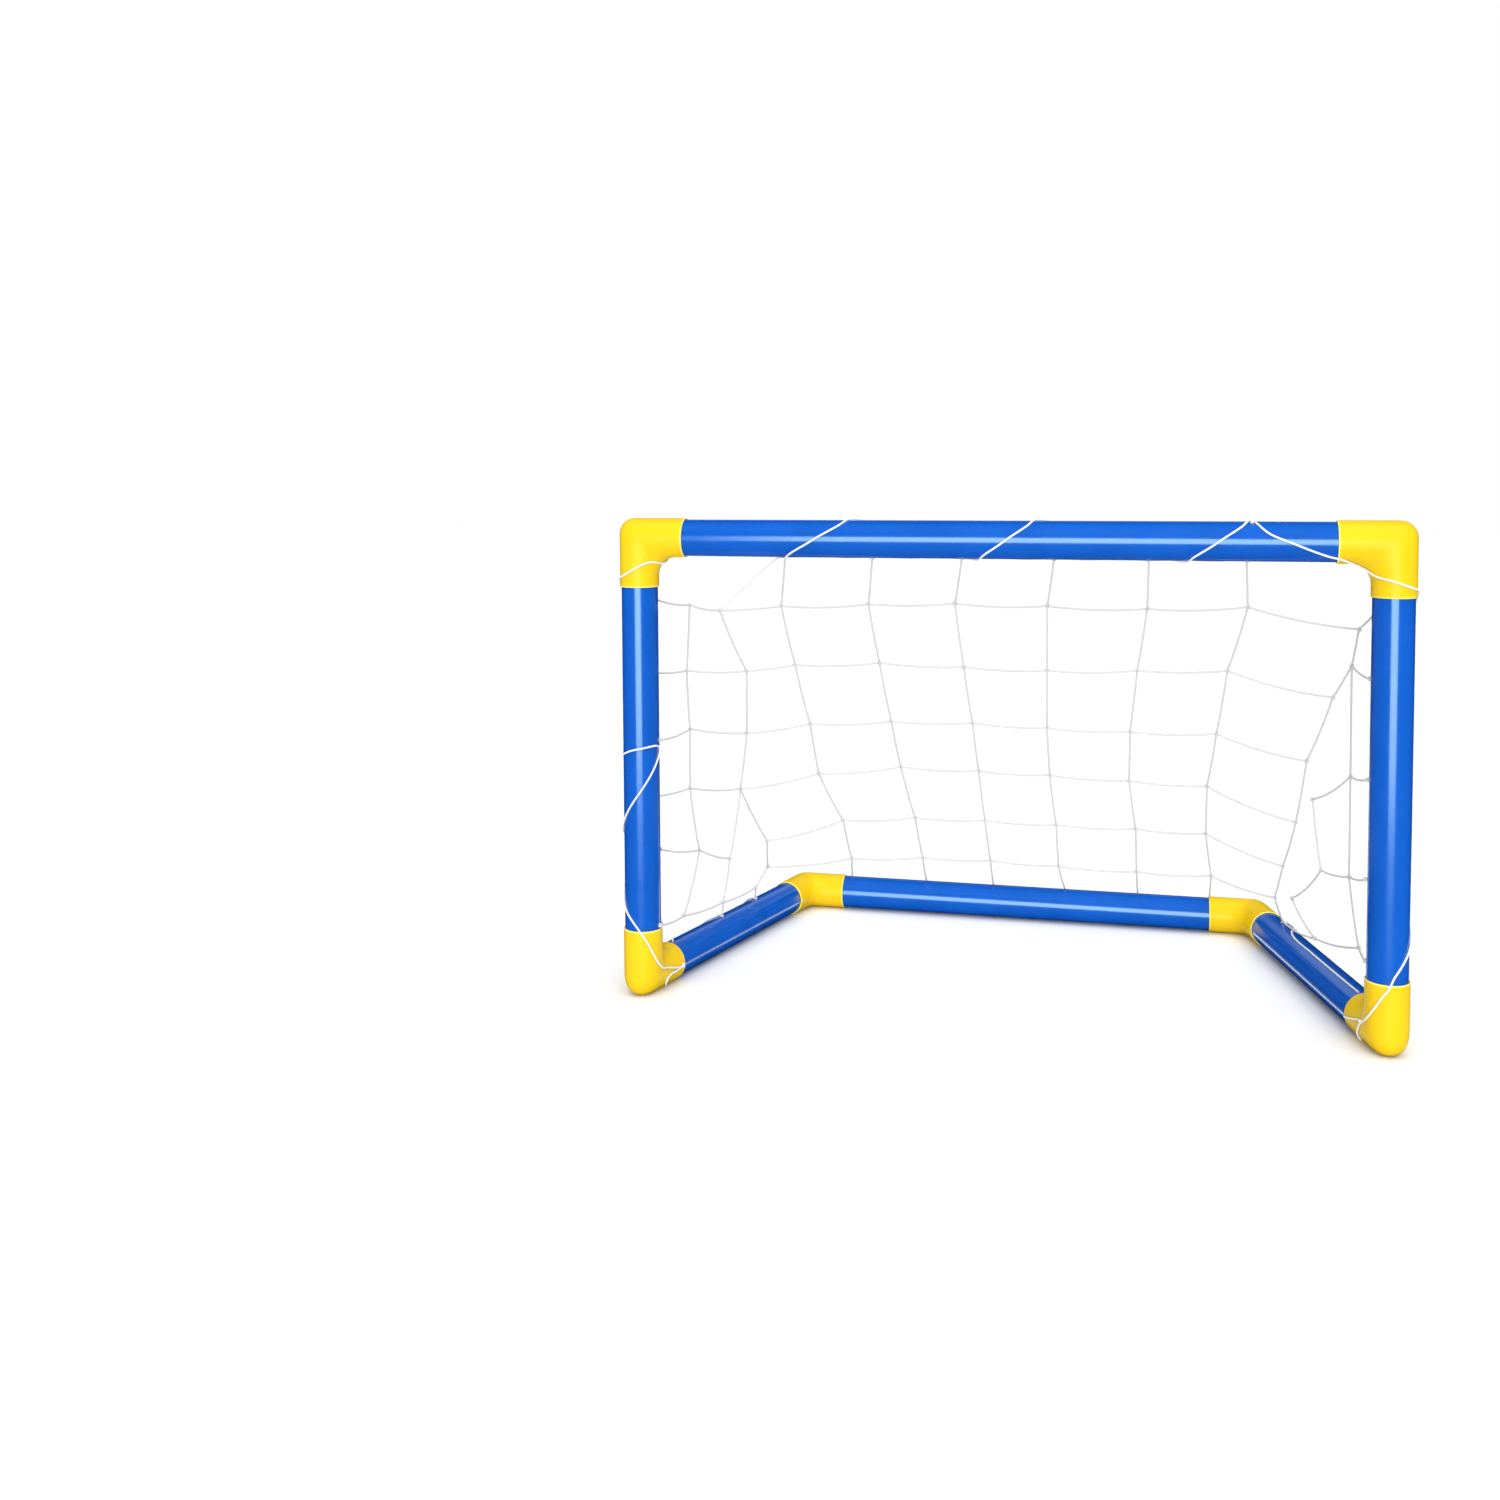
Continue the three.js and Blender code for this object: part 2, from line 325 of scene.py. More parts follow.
class Tube:
    """A straight round tube between two corners. Angles go round from `zero` towards `quarter`."""

    def __init__(self, start, end, zero, quarter):
        self.start, self.end = start, end
        self.axis = unit(end - start)
        self.length = np.linalg.norm(end - start)
        self.zero = unit(zero - self.axis * np.dot(zero, self.axis))
        self.quarter = unit(quarter - self.axis * np.dot(quarter, self.axis))

    def point(self, along, angle, lift):
        """A place on the tube, so far above its skin."""
        around = math.cos(angle) * self.zero + math.sin(angle) * self.quarter
        return self.start + self.axis * along + around * (TUBE_R + lift)

    def ring(self, along, radius, sides):
        side = unit(np.cross(self.axis, self.zero))
        turns = np.arange(sides) / sides * TURN
        around = np.outer(np.cos(turns), self.zero) + np.outer(np.sin(turns), side)
        return self.start + self.axis * along + around * radius

    def build(self, name, sides=72):
        """The tube's skin, out along it, round its far edge, back down the bore and round its near edge."""
        first, last = END, self.length - END
        start = [(first + s, TUBE_R - r) for s, r in reversed(TUBE_EDGE)]
        skin = start[1:]
        skin += [(s, TUBE_R) for s in np.linspace(first + 0.9, last - 0.9, int((last - first) / RING_STEP))]
        skin += [(last - s, TUBE_R - r) for s, r in TUBE_EDGE]
        skin += [(last, BORE_R + BORE_EDGE), (last - BORE_EDGE, BORE_R)]
        skin += [(s, BORE_R) for s in np.linspace(last - 4, first + 4, 8)]
        skin += [(first + BORE_EDGE, BORE_R), (first, BORE_R + BORE_EDGE), start[0]]
        rings = [self.ring(s, r, sides) for s, r in skin]
        return torus_mesh(name, rings, [s for s, _ in skin], BLUE)


crossbar = Tube(TOP_LEFT, TOP_RIGHT, FRONT, UP)
left_post = Tube(FRONT_LEFT, TOP_LEFT, FRONT, RIGHT)
right_post = Tube(FRONT_RIGHT, TOP_RIGHT, FRONT, RIGHT)
left_base = Tube(FRONT_LEFT, REAR_LEFT, RIGHT, UP)
right_base = Tube(FRONT_RIGHT, REAR_RIGHT, -RIGHT, UP)
rear_bar = Tube(REAR_LEFT, REAR_RIGHT, FRONT, UP)

TUBES = {
    "crossbar_tube": (crossbar, "hoop"),
    "left_post_tube": (left_post, "hoop"),
    "right_post_tube": (right_post, "hoop"),
    "left_base_tube": (left_base, "base"),
    "right_base_tube": (right_base, "base"),
    "rear_base_tube": (rear_bar, "base"),
}


def dress(obj, node, body):
    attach(obj, body)
    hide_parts(node)


for node, (tube, body) in TUBES.items():
    dress(tube.build("blue_" + node), node, body)


# ------------------------------------------------------------------ elbows

# An elbow's mouth, from its outer lip in to the passage past the shoulder: (from the corner, radius).
MOUTH = [
    (LEG - 0.4, ELBOW_R - 0.06), (LEG - 0.12, ELBOW_R - 0.22), (LEG, ELBOW_R - 0.42),
    (LEG - 0.04, SOCKET_R + 0.2), (LEG - 0.3, SOCKET_R), (LEG - 6, SOCKET_R),
    (STOP + 6, SOCKET_R), (STOP + 0.5, SOCKET_R), (STOP, SOCKET_R - 0.5),
    (STOP, PASSAGE_R + 0.5), (STOP - 0.3, PASSAGE_R),
]
PAST_SHOULDER = 0.06   # first ring of the passage's bend, radians
EASE = 0.06            # how softly the middle line turns inside a bend, radians
INSIDE = 10            # the passage's place in the UV, well away from the lips


class Elbow:
    """A moulded corner piece. Places along it run from -LEG (mouth of the first leg) through 0 (the
    corner) to +LEG; angle 0 is the outside of the bend, half a turn the inside."""

    def __init__(self, corner, first, second):
        self.corner, self.x = corner, unit(first)
        self.theta = math.acos(np.dot(unit(first), unit(second)))
        self.n = unit(np.cross(first, second))
        self.y = np.cross(self.n, self.x)
        self.reach = ELBOW_R + FILLET
        self.tangent = self.reach / math.tan(self.theta / 2)
        self.half = (math.pi - self.theta) / 2
        self.hub = np.array([self.tangent, self.reach])
        self.middle = np.array([math.cos(self.theta / 2), math.sin(self.theta / 2)])

    def outer(self, phi):
        """Distance from the hub to the outside of the bend, whose corner is rounded."""
        centre = -(ELBOW_R - CORNER) / math.sin(self.theta / 2) * self.middle
        if self.hub[0] - (self.reach + ELBOW_R) * math.tan(phi) >= centre[0]:
            return (self.reach + ELBOW_R) / math.cos(phi)
        ray = np.array([-math.sin(phi), -math.cos(phi)])
        gap = centre - self.hub
        run = gap @ ray
        return run + math.sqrt(CORNER ** 2 - (gap @ gap - run ** 2))

    def section(self, place):
        """Centre, outward direction and the two half widths of the section, for the first leg's half."""
        s = abs(place)
        if s >= self.tangent:
            return np.array([s, 0.0]), np.array([0.0, -1.0]), ELBOW_R, ELBOW_R
        phi = math.atan((self.tangent - s) / self.reach)
        blunt = math.hypot(self.half - phi, EASE) - (math.hypot(self.half, EASE) - self.half)
        distance = self.reach / math.cos(self.half - blunt)
        ray = np.array([-math.sin(phi), -math.cos(phi)])
        return self.hub + ray * distance, ray, self.outer(phi) - distance, distance - FILLET

    def place(self, flat, height, second):
        """A point of the bend's plane, mirrored to the second leg where asked, in space."""
        if second:
            flat = 2 * (flat @ self.middle) * self.middle - flat
        return self.corner + self.x * flat[0] + self.y * flat[1] + self.n * height

    def point(self, place, angle, lift=0.0):
        middle, ray, wide, narrow = self.section(place)
        c, s = math.cos(angle), math.sin(angle)
        flat = middle + ray * c * ((wide if c > 0 else narrow) + lift)
        return self.place(flat, s * (ELBOW_R + lift), place > 0)

    def ring(self, place, sides):
        return [self.point(place, k / sides * TURN) for k in range(sides)]

    def bore(self, s, radius, second, sides):
        """A round ring, square to the leg, at s from the corner."""
        turns = np.arange(sides) / sides * TURN
        return [self.place(np.array([s, -radius * math.cos(t)]), radius * math.sin(t), second)
                for t in turns]

    def passage(self, phi, second, sides):
        """A ring of the passage that bends from one socket's shoulder to the other's."""
        bend = STOP * math.tan(self.theta / 2)
        ray = np.array([-math.sin(phi), -math.cos(phi)])
        hub = np.array([STOP, bend])
        turns = np.arange(sides) / sides * TURN
        return [self.place(hub + ray * (bend + PASSAGE_R * math.cos(t)), PASSAGE_R * math.sin(t), second)
                for t in turns]

    def build(self, name, sides=64):
        steps = np.linspace(0, self.half, 19)[1:]
        bend = [self.tangent - self.reach * math.tan(p) for p in steps]
        straight = list(np.linspace(LEG - 0.8, self.tangent, 7))
        leg = straight + bend[:-1]
        passage = np.linspace(PAST_SHOULDER, self.half, 7)
        rings, along = [], []

        def add(ring, v):
            rings.append(ring)
            along.append(v)

        for s in leg:
            add(self.ring(-s, sides), -s)
        add(self.ring(0.0, sides), 0.0)
        for s in reversed(leg):
            add(self.ring(s, sides), s)
        for s, r in MOUTH:
            add(self.bore(s, r, True, sides), s)
        for phi in passage:
            add(self.passage(phi, True, sides), INSIDE)
        for phi in passage[-2::-1]:
            add(self.passage(phi, False, sides), INSIDE)
        for s, r in reversed(MOUTH):
            add(self.bore(s, r, False, sides), s)
        return torus_mesh(name, rings, along, YELLOW)


top_left = Elbow(TOP_LEFT, RIGHT, -UP)
top_right = Elbow(TOP_RIGHT, -UP, -RIGHT)
left_foot = Elbow(FRONT_LEFT, LEFT_SIDE, UP)
right_foot = Elbow(FRONT_RIGHT, RIGHT_SIDE, UP)
rear_left = Elbow(REAR_LEFT, RIGHT, -LEFT_SIDE)
rear_right = Elbow(REAR_RIGHT, -RIGHT, -RIGHT_SIDE)

ELBOWS = {
    "top_left_elbow": (top_left, "hoop"),
    "top_right_elbow": (top_right, "hoop"),
    "front_left_foot_elbow": (left_foot, "base"),
    "front_right_foot_elbow": (right_foot, "base"),
    "rear_left_elbow": (rear_left, "base"),
    "rear_right_elbow": (rear_right, "base"),
}

for node, (elbow, body) in ELBOWS.items():
    dress(elbow.build("yellow_" + node), node, body)


# ------------------------------------------------------------------ string

def smooth_path(points, step=2.0):
    """A curve through the points, in even steps (Catmull-Rom, centripetal)."""
    p = np.asarray(points, float)
    if len(p) == 2:
        count = max(2, int(np.linalg.norm(p[1] - p[0]) / step) + 1)
        return p[0] + np.linspace(0, 1, count)[:, None] * (p[1] - p[0])
    p = np.vstack([2 * p[0] - p[1], p, 2 * p[-1] - p[-2]])
    gaps = np.maximum(np.linalg.norm(np.diff(p, axis=0), axis=1), 1e-6)
    times = np.concatenate([[0], np.cumsum(gaps ** 0.5)])
    fine = []
    for i in range(1, len(p) - 2):
        t0, t1, t2, t3 = times[i - 1:i + 3]
        t = np.linspace(t1, t2, 24, endpoint=False)[:, None]
        a1 = (t1 - t) / (t1 - t0) * p[i - 1] + (t - t0) / (t1 - t0) * p[i]
        a2 = (t2 - t) / (t2 - t1) * p[i] + (t - t1) / (t2 - t1) * p[i + 1]
        a3 = (t3 - t) / (t3 - t2) * p[i + 1] + (t - t2) / (t3 - t2) * p[i + 2]
        b1 = (t2 - t) / (t2 - t0) * a1 + (t - t0) / (t2 - t0) * a2
        b2 = (t3 - t) / (t3 - t1) * a2 + (t - t1) / (t3 - t1) * a3
        fine.append((t2 - t) / (t2 - t1) * b1 + (t - t1) / (t2 - t1) * b2)
    fine = np.vstack(fine + [p[-2]])
    run = np.concatenate([[0], np.cumsum(np.linalg.norm(np.diff(fine, axis=0), axis=1))])
    even = np.linspace(0, run[-1], max(3, int(run[-1] / step) + 1))
    return np.stack([np.interp(even, run, fine[:, k]) for k in range(3)], 1)


KNOT_SPREAD = 0.62     # a third of a knot's radius, to the middle of its string, at size 1
KNOT_DEPTH = 1.25      # how thick a knot is along its axis, in spreads


class Strings:
    """Collects string runs and knots into one mesh."""

    def __init__(self):
        self.points, self.faces, self.uv, self.count = [], [], [], 0

    def run(self, path, radius=STRING_R, sides=8, loop=False):
        """A round string along the path, with flat ends, or closed on itself as a loop."""
        path = np.asarray(path, float)
        ahead = np.roll(path, -1, 0) - np.roll(path, 1, 0)
        if not loop:
            ahead[0], ahead[-1] = path[1] - path[0], path[-1] - path[-2]
        ahead /= np.linalg.norm(ahead, axis=1)[:, None]
        side = unit(np.cross(ahead[0], [0.31, 0.87, 0.37]))
        rings = []
        for p, d in zip(path, ahead):
            side = unit(side - d * (side @ d))
            other = np.cross(d, side)
            turns = np.arange(sides) / sides * TURN
            rings.append(p + radius * (np.outer(np.cos(turns), side) + np.outer(np.sin(turns), other)))
        along = np.concatenate([[0], np.cumsum(np.linalg.norm(np.diff(path, axis=0), axis=1))])
        first = self.count
        self.points.append(np.vstack(rings))
        turn = np.tile(np.arange(sides) / sides, len(path))
        self.uv.append(np.stack([turn, np.repeat(along * MM, sides)], 1))
        self.faces += ring_faces(len(path), sides, first, wrap=loop)
        if not loop:
            last = first + (len(path) - 1) * sides
            self.faces.append(tuple(first + k for k in reversed(range(sides))))
            self.faces.append(tuple(last + k for k in range(sides)))
        self.count += len(path) * sides

    def knot(self, place, along, size, turned=0):
        """A tight overhand knot (a trefoil) round the point, its axis along the given direction. Knots with
        different whole numbers in turned don't look alike."""
        along = unit(along)
        side = unit(np.cross(along, [0.3, 0.2, 0.93]))
        other = np.cross(along, side)
        t = np.linspace(0, TURN, 25)[:-1]
        spin = 1.7 * turned
        x, y = np.sin(t) + 2 * np.sin(2 * t), np.cos(t) - 2 * np.cos(2 * t)
        x, y = math.cos(spin) * x - math.sin(spin) * y, math.sin(spin) * x + math.cos(spin) * y
        z = -KNOT_DEPTH * np.sin(3 * t)
        trefoil = np.outer(x, side) + np.outer(y, other) + np.outer(z, along)
        self.run(place + size * KNOT_SPREAD * trefoil, STRING_R * 0.95 * size, 7, loop=True)

    def build(self, name, material):
        return make_mesh(name, np.vstack(self.points), self.faces, material, np.vstack(self.uv))


def on_tube(tube, waypoints):
    """A string lying on a tube through (millimetres along, degrees round) waypoints."""
    flat = smooth_path([(s, math.radians(a) * TUBE_R, 0) for s, a in waypoints])
    return np.array([tube.point(s, arc / TUBE_R, CLEAR) for s, arc, _ in flat])


def on_elbow(elbow, waypoints):
    """The same on an elbow, where the millimetres count from -LEG to LEG through the corner."""
    flat = smooth_path([(q, math.radians(a) * ELBOW_R, 0) for q, a in waypoints])
    return np.array([elbow.point(q, arc / ELBOW_R, CLEAR) for q, arc, _ in flat])


def joined(*parts):
    """One even run through several pieces of path, with the steps between them eased."""
    path = smooth_path(np.vstack(parts)[::2])
    for _ in range(3):
        path[1:-1] = 0.5 * path[1:-1] + 0.25 * (path[:-2] + path[2:])
    return path


def fit(x, y, z):
    """A place given from the left-right middle, the posts' plane and the ground."""
    return np.array([x, y + front_y, z], float)


def at_x(x):
    """How far along the crossbar a place is, from its place left or right of the middle."""
    return x - left_x


def at_z(z):
    """How far up a post a place is, from its height above the ground."""
    return z - base_z


def crossing(bottom, top, laps):
    """Waypoints of a strand that slants straight up over the crossbar's front, after so many laps."""
    middle, half = at_x((bottom + top) / 2), (top - bottom) / 2
    return [(middle + half * math.sin(math.radians(a)), a + 360 * laps)
            for a in (-90, -50, 0, 50, 90)]


# The corner knot of the net that the lacing starts at.
corner_left = fit(-251, 50, 339)

crossbar_path = joined(
    corner_left[None], fit(-214, 32, 366)[None],
    on_tube(crossbar, [
        (at_x(-184), -110), *crossing(-180, -121, 0), (at_x(-70), 180), *crossing(-15, 34, 1),
        (at_x(88), 540), *crossing(152, 202, 2), (at_x(205), 790), (at_x(214), 748),
        (at_x(235), 716), (at_x(263), 676)]),
    on_elbow(top_right, [
        (42, -132), (30, -156), (16, -165), (-2, -161), (-20, -143), (-30, -92), (-35, -45), (-38, -6)]),
)

left_post_path = joined(
    on_elbow(top_left, [
        (-14, -215), (-8, -190), (1, -165), (9, -138), (19, -115), (27, -90), (32, -62), (35, -30),
        (37, -8)]),
    on_tube(left_post, [(at_z(z), a) for z, a in [
        (360, -104), (348, -150), (300, -185), (240, -150), (215, -90), (222, 0), (224, 78), (219, 92),
        (213, 78), (179, 0), (144, -90), (134, -150), (116, -150), (96, -90), (80, -50), (66, -6)]]),
    on_elbow(left_foot, [
        (42, 27), (30, 52), (16, 78), (4, 98), (-6, 104), (-20, 97), (-34, 87), (-42, 82)]),
)
left_foot_path = on_elbow(left_foot, [(-38, 90), (-28, 84), (-18, 82), (-15, 72), (-18, 56), (-22, 42)])

right_post_path = joined(
    on_elbow(top_right, [(-36, -30), (-39, -6)]),
    on_tube(right_post, [(at_z(z), a) for z, a in [
        (360, 104), (346, 150), (300, 182), (200, 185), (130, 150), (99, 90), (78, 36), (66, 8)]]),
    on_elbow(right_foot, [
        (42, -15), (33, -36), (23, -60), (12, -84), (2, -102), (-8, -106), (-22, -98), (-36, -88),
        (-42, -84)]),
)
right_foot_path = on_elbow(right_foot, [(-2, -104), (-9, -94), (-15, -80), (-20, -62), (-22, -46)])

left_base_path = joined(
    on_tube(left_base, [
        (46, 84), (62, 120), (90, 190), (120, 150), (137, 100), (152, 150), (190, 205), (235, 200),
        (269, 150)]),
)

right_base_path = joined(
    on_tube(right_base, [
        (46, 76), (90, 75), (150, 75), (196, 77), (212, 92), (228, 125), (240, 152), (252, 186)]),
)

rear_path = joined(
    on_tube(rear_bar, [
        (47, 190), (80, 222), (160, 228), (230, 222), (300, 228), (380, 222), (409, 190)]),
)

LACINGS = {
    "crossbar_lacing": (crossbar_path, "hoop"),
    "left_post_lacing": (left_post_path, None),
    "right_post_lacing": (right_post_path, None),
    "left_base_lacing": (left_base_path, "base"),
    "right_base_lacing": (right_base_path, "base"),
    "rear_bar_lacing": (rear_path, "base"),
}
# Short ends that are knotted off on the foot elbows.
FOOT_ENDS = {"left_post_lacing": left_foot_path, "right_post_lacing": right_foot_path}


def across(obj):
    """String that crosses from the base to the hoop, from low to high on the posts: its mesh is baked in
    place and tied to neither body.
    """
    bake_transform(obj)


def dress_string(obj, node, body):
    """body is None for string that crosses from one body to the other."""
    if body:
        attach(obj, body)
    else:
        across(obj)
    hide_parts(node)


for node, (path, body) in LACINGS.items():
    strings = Strings()
    strings.run(path, LACING_R)
    if node == "crossbar_lacing":
        strings.knot(crossbar.point(at_x(203), math.radians(66), 1.4), RIGHT, LACING_KNOT)
    if node in FOOT_ENDS:
        end = FOOT_ENDS[node]
        strings.run(end, LACING_R)
        strings.knot(end[0], end[1] - end[0], LACING_KNOT)
    dress_string(strings.build("string_" + node, LACING), node, body)


# ------------------------------------------------------------------ net

# The back net's rows of knots, from the crossbar down: (behind the posts' plane, height).
BACK_ROWS = [(50, 347), (84, 289), (120, 231), (164, 178), (204, 123), (250, 71)]
# Where its columns are tied to the crossbar and the rear bar, and each row's places from left to right.
BAR_X = [-180, -104, -28, 48, 124, 200]
REAR_X = [-180, -100, -30, 44, 116, 186]
ROW_X = [
    [-194, -115, -39, 40, 123, 204],
    [-189, -111, -35, 38, 115, 190],
    [-183, -106, -31, 36, 109, 183],
    [-184, -104, -30, 36, 108, 177],
    [-168, -96, -28, 40, 114, 178],
    [-168, -95, -27, 40, 115, 185],
]
# How much each knot stands above its row's height.
LIFT = [
    [-3, 0, 2, 1, 0, 3], [-2, 2, 0, -1, 1, 3], [-4, 1, 2, 0, -1, 0],
    [-7, 3, 2, 1, -1, -3], [-6, 0, 1, 0, 0, -1], [-4, 1, 2, 0, -1, -1],
]
ROWS = len(BACK_ROWS)
COLUMNS = len(BAR_X)
NETS = ("back_net", "left_side_net", "right_side_net")
SLACK = 0.0006         # spare length of each stretch between knots, as a part of it

knots = {}                         # name to place
held = set()                       # names of the knots that don't move
links = {net: [] for net in NETS}  # pairs of knots with a stretch of string between them
tails = {net: [] for net in NETS}  # ends that go round a tube to the lacing


def tie(name, place):
    knots[name] = np.asarray(place, float)
    held.add(name)


def link(net, *names):
    links[net] += zip(names, names[1:])


for i, x in enumerate(BAR_X):
    tie(f"bar{i}", crossbar.point(at_x(x), math.radians(250), CLEAR))
    tie(f"rear{i}", rear_bar.point(REAR_X[i] - rear_left_x, math.radians(140), CLEAR))
    tails["back_net"].append(on_tube(rear_bar, [(REAR_X[i] - rear_left_x, a) for a in (140, 180, 216)]))
    for j, (y, z) in enumerate(BACK_ROWS):
        knots[f"k{i}{j}"] = fit(ROW_X[j][i], y, z + LIFT[j][i])
for i in range(COLUMNS):
    link("back_net", f"bar{i}", *[f"k{i}{j}" for j in range(ROWS)], f"rear{i}")
for j in range(ROWS):
    link("back_net", *[f"k{i}{j}" for i in range(COLUMNS)])

# Corner columns: the net's last columns before it turns forward along the sides.
# The left one's topmost knot is where the lacing starts.
LEFT_CORNER = [(-235, 84, 280), (-244, 118, 216), (-257, 142, 157), (-241, 184, 97), (-249, 218, 62)]
RIGHT_CORNER = [
    (290, 42, 334), (275, 80, 272), (258, 114, 211), (253, 149, 149), (246, 192, 98), (241, 214, 62),
]
tie("l0", corner_left)
for j, place in enumerate(LEFT_CORNER, start=1):
    knots[f"l{j}"] = fit(*place)
for j, place in enumerate(RIGHT_CORNER):
    knots[f"r{j}"] = fit(*place)
for j in range(ROWS):
    link("back_net", f"l{j}", f"k0{j}")
    link("back_net", f"k{COLUMNS - 1}{j}", f"r{j}")

# The net's top edge string runs along under the crossbar past all the columns' ties, a little unevenly.
EDGE_POINTS = 50
EDGE_START, EDGE_STEP = -186, 7.9
EDGE_TURN, EDGE_WANDER = 246, 4    # degrees
top_edge = [(at_x(EDGE_START + EDGE_STEP * k), EDGE_TURN + EDGE_WANDER * math.sin(k))
            for k in range(EDGE_POINTS)]
tails["back_net"].append(on_tube(crossbar, top_edge))


def to_post(net, post, name, height, turn):
    """A string's end on a post, carried on round the back to the lacing."""
    tie(name, post.point(at_z(height), math.radians(turn), CLEAR))
    back = math.copysign(180, turn)
    tails[net].append(on_tube(post, [(at_z(height), turn), (at_z(height - 1), (turn + back) / 2),
                                     (at_z(height - 1), back)]))


def to_base(net, base, name, along, turn, stop):
    """A string's end on a lying tube, carried on over its outside."""
    tie(name, base.point(along, math.radians(turn), CLEAR))
    tails[net].append(on_tube(base, [(along, turn), (along + 1, (turn + stop) / 2), (along, stop)]))


# Left side: the meshes between the corner column, the post and the lying tube.
LEFT_POST_TIES = {
    "lp0": (352, 150), "lp1": (286, 170), "lp2": (228, 95), "lp3": (174, 160), "lp4": (128, 130),
    "lp5": (63, 80),
}
LEFT_KNOTS = {
    "lm0": (-284, 66, 342), "lm1": (-288, 68, 281), "lm2": (-287, 74, 226), "lm3": (-288, 76, 170),
    "lm4": (-284, 92, 108), "lm5": (-292, 66, 52),
    "lc5": (-268, 142, 88), "le5": (-273, 134, 47), "lf5": (-256, 196, 46),
}
left = "left_side_net"
for name, (height, turn) in LEFT_POST_TIES.items():
    to_post(left, left_post, name, height, turn)
for name, place in LEFT_KNOTS.items():
    knots[name] = fit(*place)
to_base(left, left_base, "lb1", 137, 88, 110)
to_base(left, left_base, "lb2", 206, 92, 200)
link(left, *[f"l{j}" for j in range(ROWS)])
link(left, "l0", "lm0", "lp0")
link(left, "l1", "lm1", "lp1")
link(left, "l2", "lm2", "lp2")
link(left, "l3", "lm3", "lp3")
link(left, "lc5", "lm4", "lp4")
link(left, "lm0", "lm1", "lm2", "lm3", "lm4", "lm5")
link(left, "l3", "lc5", "le5", "lb1")
link(left, "lp5", "lm5", "le5", "lf5", "l5")
link(left, "lf5", "lb2")

# Right side.
RIGHT_POST_TIES = {
    "rp0": (354, -150), "rp1": (299, -100), "rp2": (219, -95), "rp3": (139, -95), "rp4": (73, -95),
}
RIGHT_KNOTS = {
    "rm0": (287, 60, 302), "rm2": (289, 74, 207), "rm3": (289, 73, 122), "rm4": (295, 53, 68),
    "rc3": (267, 152, 170), "rc4": (273, 133, 111), "rc5": (255, 202, 66), "re5": (270, 142, 47),
}
right = "right_side_net"
for name, (height, turn) in RIGHT_POST_TIES.items():
    to_post(right, right_post, name, height, turn)
for name, place in RIGHT_KNOTS.items():
    knots[name] = fit(*place)
to_base(right, right_base, "rb2", 242, 100, 200)
link(right, "rp0", "r0", "rm0", *[f"r{j}" for j in range(1, ROWS)])
link(right, "rm0", "rp1")
link(right, "rm0", "rm2", "rm3", "rm4", "rp4")
link(right, "rm2", "rp2")
link(right, "rm3", "rp3")
link(right, "rm2", "rc3", "rc4", "rm3")
link(right, "rc4", "rc5", "re5", "rm4")
link(right, "r5", "rb2", "re5")


LINK = 14.0            # about the length of the pieces that each stretch of string is divided into


def divide():
    """Cuts every stretch into short pieces. Gives the points (the knots first, by name), which of them are
    free, each piece's two ends and its length, and each net's stretches as (knot, knot, its points)."""
    index = {name: i for i, name in enumerate(sorted(knots))}
    points = [knots[name] for name in index]
    free = [float(name not in held) for name in index]
    pieces, lengths, chains = [], [], {net: [] for net in NETS}
    for net in NETS:
        for start, end in links[net]:
            p, q = knots[start], knots[end]
            count = max(2, round(np.linalg.norm(q - p) / LINK))
            chain = [index[start], *range(len(points), len(points) + count - 1), index[end]]
            points += [p + (q - p) * k / count for k in range(1, count)]
            free += [1.0] * (count - 1)
            pieces += zip(chain, chain[1:])
            lengths += [np.linalg.norm(q - p) / count * (1 + SLACK)] * count
            chains[net].append((start, end, chain))
    return np.array(points), np.array(free), np.array(pieces), np.array(lengths), chains


def relax(points, free, pieces, lengths, steps=140, rounds=24, pull=0.004, stay=0.3, keep=0.9, push=1.6):
    """Lets the strings settle under their weight, their lengths kept and their knots near their places."""
    a, b = pieces.T
    share = free[a] + free[b] + 1e-9
    degree = np.bincount(a, minlength=len(points)) + np.bincount(b, minlength=len(points))
    chosen = points[:len(knots)]
    now = before = points
    for _ in range(steps):
        step = keep * (now - before)
        before = now
        now = now + step * free[:, None]
        now[:, 2] -= pull * free
        now[:len(knots)] += stay * (chosen - now[:len(knots)])
        for _ in range(rounds):
            gap = now[b] - now[a]
            far = np.linalg.norm(gap, axis=1)
            give = np.maximum(far - lengths, 0) / far / share
            move = gap * give[:, None]
            shift = np.zeros_like(now)
            np.add.at(shift, a, move * free[a][:, None])
            np.add.at(shift, b, -move * free[b][:, None])
            now = now + shift / np.maximum(degree, 1)[:, None] * push
    return now


def in_back_net(name):
    """Whether the back net has this knot; the corner columns' knots go with the side nets."""
    return name.startswith(("k", "bar", "rear"))


points, free, pieces, lengths, chains = divide()
settled = relax(points, free, pieces, lengths)

for net in NETS:
    strings = Strings()
    knotted = {}  # each knot's place and the way that its first string takes
    for start, end, chain in chains[net]:
        path = smooth_path(settled[chain], 3.0)
        strings.run(path)
        knotted.setdefault(start, (settled[chain[0]], unit(path[2] - path[0])))
        knotted.setdefault(end, (settled[chain[-1]], unit(path[-1] - path[-3])))
    for order, (name, (place, way)) in enumerate(sorted(knotted.items(), key=lambda item: item[0])):
        if in_back_net(name) == (net == "back_net"):
            strings.knot(place, way + (0.01, 0.02, 0.03), KNOT, order)
    for tail in tails[net]:
        strings.run(tail)
    dress_string(strings.build("string_" + net, SHADED_NET_STRING), net, None)


# ------------------------------------------------------------------ stage and light

